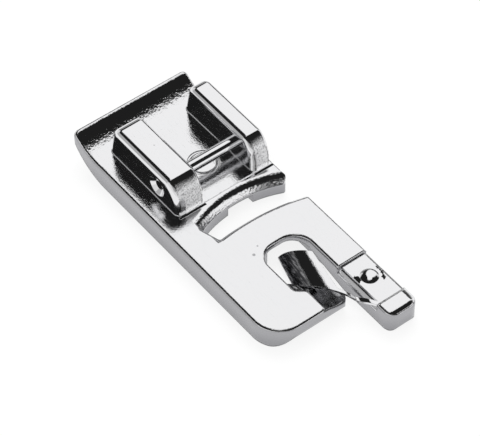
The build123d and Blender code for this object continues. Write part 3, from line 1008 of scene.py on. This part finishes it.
scroll = Plated("scroll_chrome", ripple_size=0.14, ripple_depth=0.006, pit_rarity=0.97, edge_radius=0.05)
tree, where = scroll.tree, scroll.where
on_tab = ramp(tree, where["Up"], *TAB_TOP)
uneven = noise(tree, part_place(tree), 1.0 / (WOBBLE_SIZE * MM))
wobble = calc(tree, "MULTIPLY_ADD", uneven, WOBBLE, -WOBBLE / 2)
from_dent = length(tree, *offset(tree, where, EDGE_DENT_X, EDGE_DENT_Y))
edge_dent = ramp(
    tree,
    calc(tree, "ADD", from_dent, wobble),
    EDGE_DENT_RADIUS + EDGE_DENT_SOFT,
    EDGE_DENT_RADIUS - EDGE_DENT_SOFT,
)
aside, ahead = offset(tree, where, RIVET_X, RIVET_Y)
from_rivet = calc(tree, "ADD", length(tree, aside, ahead), wobble)
ring_dent = both(
    tree,
    within(tree, from_rivet, RING_INSIDE, RING_OUTSIDE, RING_SOFT),
    ramp(tree, aside, *RING_LEFT),
    ramp(tree, ahead, *RING_BACK),
)
for dent in (edge_dent, ring_dent):
    scroll.normal = lean(tree, scroll.normal, both(tree, dent, on_tab), (-DENT_LEAN, 0.0, 0.0))
print("rivet at", round(RIVET_X, 2), round(RIVET_Y, 2), "mm")

# %% [markdown]
# On the left side of the tongue, where it rolls over and faces the dark side of the room, the colour is
# painted dark in streaks: a painted reflection of that dark side, with the roughness raised a little.
# Noise that is stretched along the tongue makes the streaks, and the direction of the surface keeps them
# on that side.

# %% Painted dark side of the tongue
STREAK_SHADE_DARK = (0.07, 0.07, 0.075, 1.0)
STREAK_SHADE_PALE = (0.50, 0.50, 0.51, 1.0)
STREAK_TURN = -8.0
STREAK_SCALE = (1.0, 0.07, 1.0)
STREAK_SIZE = 0.22
STREAK_FADE = (0.45, 0.68)
STREAK_ROUGHNESS = 0.18
DARK_SIDE_FACING = (-0.42, -0.58)
DARK_SIDE_RIGHT = (3.6, 3.2)

drawn_out = stretched(tree, part_place(tree), STREAK_TURN, STREAK_SCALE)
streaks = noise(tree, drawn_out, 1.0 / (STREAK_SIZE * MM))
# painted reflection: the left-facing side of the tongue is darkened in streaks to stand for the dark
# room it mirrors
painted_dark_colour = blend_colour(tree, ramp(tree, streaks, *STREAK_FADE), STREAK_SHADE_DARK, STREAK_SHADE_PALE)
dark_side = both(tree, ramp(tree, where["Right"], *DARK_SIDE_FACING), ramp(tree, where["X"], *DARK_SIDE_RIGHT))
scroll.colour = blend_colour(tree, dark_side, CHROME, painted_dark_colour)
scroll.rough = calc(tree, "MULTIPLY_ADD", dark_side, STREAK_ROUGHNESS, CHROME_ROUGHNESS)
scroll.finish("hemming_scroll")

# %% [markdown]
# ## Rivet
# The head of the rivet was flattened by the press, so its polish is a shallower dome than its outline.
# Leaning the normals towards straight up does that. The tool also left a narrow flat from the middle
# to the front left, which mirrors the screen as a white stem.

# %% Rivet material
HEAD_FLATNESS = 0.8
STRIP_WAY = (-0.617, -0.787)
STRIP_START, STRIP_END = -0.1, 0.72
STRIP_END_SOFT = 0.06
STRIP_HALF = 0.2
STRIP_SOFT = 0.08
STRIP_FLATNESS = 3.0

rivet = Plated("rivet_chrome", ripple_size=0.12, ripple_depth=0.004, pit_rarity=0.97, edge_radius=0.04)
tree, where = rivet.tree, rivet.where
rivet.normal = lean(tree, rivet.normal, HEAD_FLATNESS, (0.0, 0.0, 1.0))
aside, ahead = offset(tree, where, RIVET_X, RIVET_Y)
way_x, way_y = STRIP_WAY
down_strip = calc(tree, "MULTIPLY_ADD", aside, way_x, calc(tree, "MULTIPLY", ahead, way_y))
off_strip = calc(tree, "MULTIPLY_ADD", aside, way_y, calc(tree, "MULTIPLY", ahead, -way_x))
strip = both(
    tree,
    ramp(tree, calc(tree, "ABSOLUTE", off_strip), STRIP_HALF + STRIP_SOFT, STRIP_HALF - STRIP_SOFT),
    within(tree, down_strip, STRIP_START, STRIP_END, STRIP_END_SOFT),
)
rivet.normal = lean(tree, rivet.normal, strip, (0.0, 0.0, STRIP_FLATNESS))
rivet.finish("scroll_rivet")
